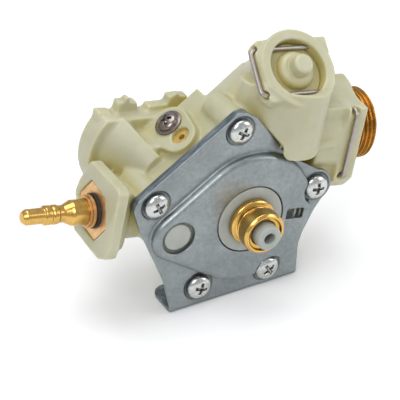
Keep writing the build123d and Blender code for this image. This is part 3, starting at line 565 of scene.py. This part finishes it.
def blanking_plug():
    """Grooved plug with a domed centre and a nub."""
    rim, groove, dome, nub = 10.85, 8.7, 7.0, 3.75
    base, shoulder, dome_top = -16.2, -8.6, -4.9
    profile = [
        (0, base), (rim - 0.5, base), (rim, base + 0.5), (rim, base + 2.2), (groove, base + 2.2),
        (groove, base + 5.0), (rim, base + 5.0), (rim, shoulder), (dome, shoulder), (dome, -6.8),
        (dome - 0.7, -5.6), (dome - 2.0, dome_top), (nub + 0.4, dome_top), (nub, dome_top + 0.5),
        (nub, -0.8), (nub - 0.8, 0), (0, 0),
    ]
    return turned_piece("blanking_plug", "blanking_plug_turned", SOCKET_AXIS, profile, 0.6)


def thread_ridge(r, height, angle):
    """A point of the nipple, cut by a right-hand Whitworth thread with rounded crests and roots."""
    neck_top, neck = -7.4, 11.9
    if height <= neck_top or r <= max(neck, THREAD_R - THREAD_ROOM):
        return r, height
    turn = (height / THREAD_PITCH - angle / (2 * math.pi)) % 1.0
    slope = abs(2 * turn - 1)
    rise = 0.6 * slope + 0.4 * slope * slope * (3 - 2 * slope)
    return min(r, THREAD_R - THREAD_DEPTH * (1 - rise)), height


def outlet_nipple():
    """Spigot with grooves for the O-ring and the clip, then the threaded end."""
    bore, spigot, ring_groove, clip_groove, neck = 9.0, 13.6, 11.6, 11.7, 11.8
    clip = -13.6
    profile = [
        (bore, clip - 6.3), (spigot - 0.6, clip - 6.3), (spigot, clip - 5.7), (spigot, clip - 5.0),
        (ring_groove, clip - 5.0), (ring_groove, clip - 2.6), (spigot, clip - 2.6), (spigot, clip - 1.1),
        (clip_groove, clip - 1.1), (clip_groove, clip + 1.1), (spigot, clip + 1.1), (spigot, -8.8),
        (neck, -8.3), (neck, -7.5), (THREAD_R, -6.9), (THREAD_R, -1.0), (12.0, 0), (bore + 0.6, 0),
        (bore, -0.6),
    ]
    return turned_piece("outlet_nipple", "threaded_nipple", OUTLET_AXIS, profile, 0.2,
                        shape=thread_ridge, step=0.12)


def screw_recess(turn, height):
    """Cross recess of a screw head, as a function that moves its points down."""
    half_arm, arm_reach, depth, flank = 0.55, 2.35, 1.9, 0.3
    head_only = 0.4 * height

    def shape(r, z, angle):
        if z < head_only:
            return r, z
        x, y = abs(r * math.cos(angle + turn)), abs(r * math.sin(angle + turn))
        outside = max(min(x, y) - half_arm, max(x, y) - arm_reach)
        inside = min(1.0, max(0.0, 0.5 - outside / flank))
        shallower_outward = max(0.35, 1 - r / (1.6 * arm_reach))
        return r, z - depth * inside * inside * (3 - 2 * inside) * shallower_outward

    return shape


def pan_head(radius, height, length):
    """Screw profile, heights from the seat: a domed head above and a shank below."""
    edge = 0.28 * height
    dome = []
    for degrees in range(0, 91, 6):
        angle = math.radians(degrees)
        dome.append((radius * math.cos(angle), edge + (height - edge) * math.sin(angle) ** 0.9))
    return [(SHANK_R, -length), (SHANK_R, 0), (radius, 0)] + dome + [(0, -length)]


def screw_heads(node, axis):
    """Centres of the flat tops of the screws in a node."""
    points = [v.co for v in nodes[node].data.vertices]
    reach = max(p.dot(axis) for p in points)
    groups = []
    for p in points:
        if reach - p.dot(axis) >= SAME_PLANE:
            continue
        near = [group for group in groups if (group[0] - p).length < HEAD_R * MM]
        if near:
            near[0].append(p)
        else:
            groups.append([p])
    return [middle(group) for group in groups]


def screws(node, name, axis, radius, height, length, flange=0.0):
    """The screws of a node as one piece, each recess turned its own way."""
    meshes = []
    for i, top in enumerate(screw_heads(node, axis)):
        profile = pan_head(radius, height, length)
        if flange:
            profile = profile[:2] + [(flange, 0), (flange, 0.7), (radius + 0.4, 0.9)] + profile[3:]
        seat = top - axis * height * MM
        recess = screw_recess(0.5 + 0.7 * i, height)
        meshes.append(lathe(name, profile, seat, axis, 0.12, 96, recess, 0.12))
    return add_piece(name, joined(meshes, name), node)


def coil_spring(node, name):
    """A spring piece on its own copy of the CAD mesh, riding on its body."""
    piece = add_piece(name, nodes[node].data.copy(), node)
    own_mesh(piece)


gland_nut()
pushrod()
spindle()
blanking_plug()
outlet_nipple()
screws("cover_screws", "pan_head_screws", FRONT, HEAD_R, HEAD_H, SCREW_LENGTH)
coil_spring("return_spring", "return_coil")
coil_spring("spindle_spring", "spindle_coil")
screws("side_screw", "side_screw_turned", RIM_NORMAL, SIDE_HEAD_R, SIDE_HEAD_H, SIDE_LENGTH, SIDE_FLANGE_R)

# ---------------------------------------------------------------- camera, floor and light
AZIMUTH, ELEVATION = math.radians(-28.5), math.radians(34.0)
DISTANCE, LENS, SENSOR = 0.893, 225.0, 36.0
OFF_CENTRE_X, OFF_CENTRE_Y = 0.0166, 0.0055
FLOOR_HALF, FLOOR_GAP = 3.0, 0.1 * MM
LIGHT_AIM = Vector((0, 0, 0.04))


def add_camera():
    low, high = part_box("pushrod")
    front_of_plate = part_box("cover_bracket")[0].y + DOME_RISE
    aim = Vector(((low.x + high.x) / 2, front_of_plate, (low.z + high.z) / 2))
    level = math.cos(ELEVATION)
    back = Vector((math.sin(AZIMUTH) * level, -math.cos(AZIMUTH) * level, math.sin(ELEVATION)))
    right = Vector((math.cos(AZIMUTH), math.sin(AZIMUTH), 0))
    up = back.cross(right)
    centre = aim - right * OFF_CENTRE_X + up * OFF_CENTRE_Y
    data = bpy.data.cameras.new("camera")
    data.lens, data.sensor_width = LENS, SENSOR
    data.clip_start = 0.01
    camera = bpy.data.objects.new("camera", data)
    turn = Matrix((right, up, back)).transposed().to_4x4()
    camera.matrix_world = Matrix.Translation(centre + back * DISTANCE) @ turn
    bpy.context.scene.collection.objects.link(camera)
    bpy.context.scene.camera = camera


def add_floor():
    mesh = bpy.data.meshes.new("floor")
    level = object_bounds()[0][2] - FLOOR_GAP
    corners = [(FLOOR_HALF * x, FLOOR_HALF * y, level) for x, y in ((-1, -1), (1, -1), (1, 1), (-1, 1))]
    mesh.from_pydata(corners, [], [(0, 1, 2, 3)])
    floor = bpy.data.objects.new("floor", mesh)
    bpy.context.scene.collection.objects.link(floor)
    finish = Finish("floor", Roughness=0.8, Specular_IOR_Level=0.2)
    finish.colour(finish.ramp(finish.noise(30, 3), (0.3, (0.90, 0.90, 0.90)), (0.7, (0.92, 0.92, 0.92))))
    paint(floor, finish)


def add_light(name, place, size, power, colour=(1, 1, 1)):
    data = bpy.data.lights.new(name, "AREA")
    data.size, data.energy, data.color = size, power, colour
    light = bpy.data.objects.new(name, data)
    aim = LIGHT_AIM - Vector(place)
    light.matrix_world = Matrix.Translation(place) @ aim.to_track_quat("-Z", "Y").to_matrix().to_4x4()
    bpy.context.scene.collection.objects.link(light)


def add_world():
    world = bpy.data.worlds.new("studio")
    world.use_nodes = True
    background = world.node_tree.nodes["Background"]
    background.inputs["Color"].default_value = (0.93, 0.96, 1.0, 1)
    background.inputs["Strength"].default_value = 0.62
    bpy.context.scene.world = world


add_camera()
add_floor()
add_light("key", (-0.55, -0.55, 0.85), 0.5, 5.0)
add_light("fill", (0.75, -0.45, 0.45), 0.5, 2.4)
add_light("top", (0.05, 0.25, 1.1), 0.8, 6.5)
add_world()
bpy.context.scene.view_settings.view_transform = "Standard"

# ---------------------------------------------------------------- finishes on the CAD pieces
for name, piece in nodes.items():
    paint(piece, finishes[slot_of_node[name]])
paint(nodes["spindle"], spindle_brass)
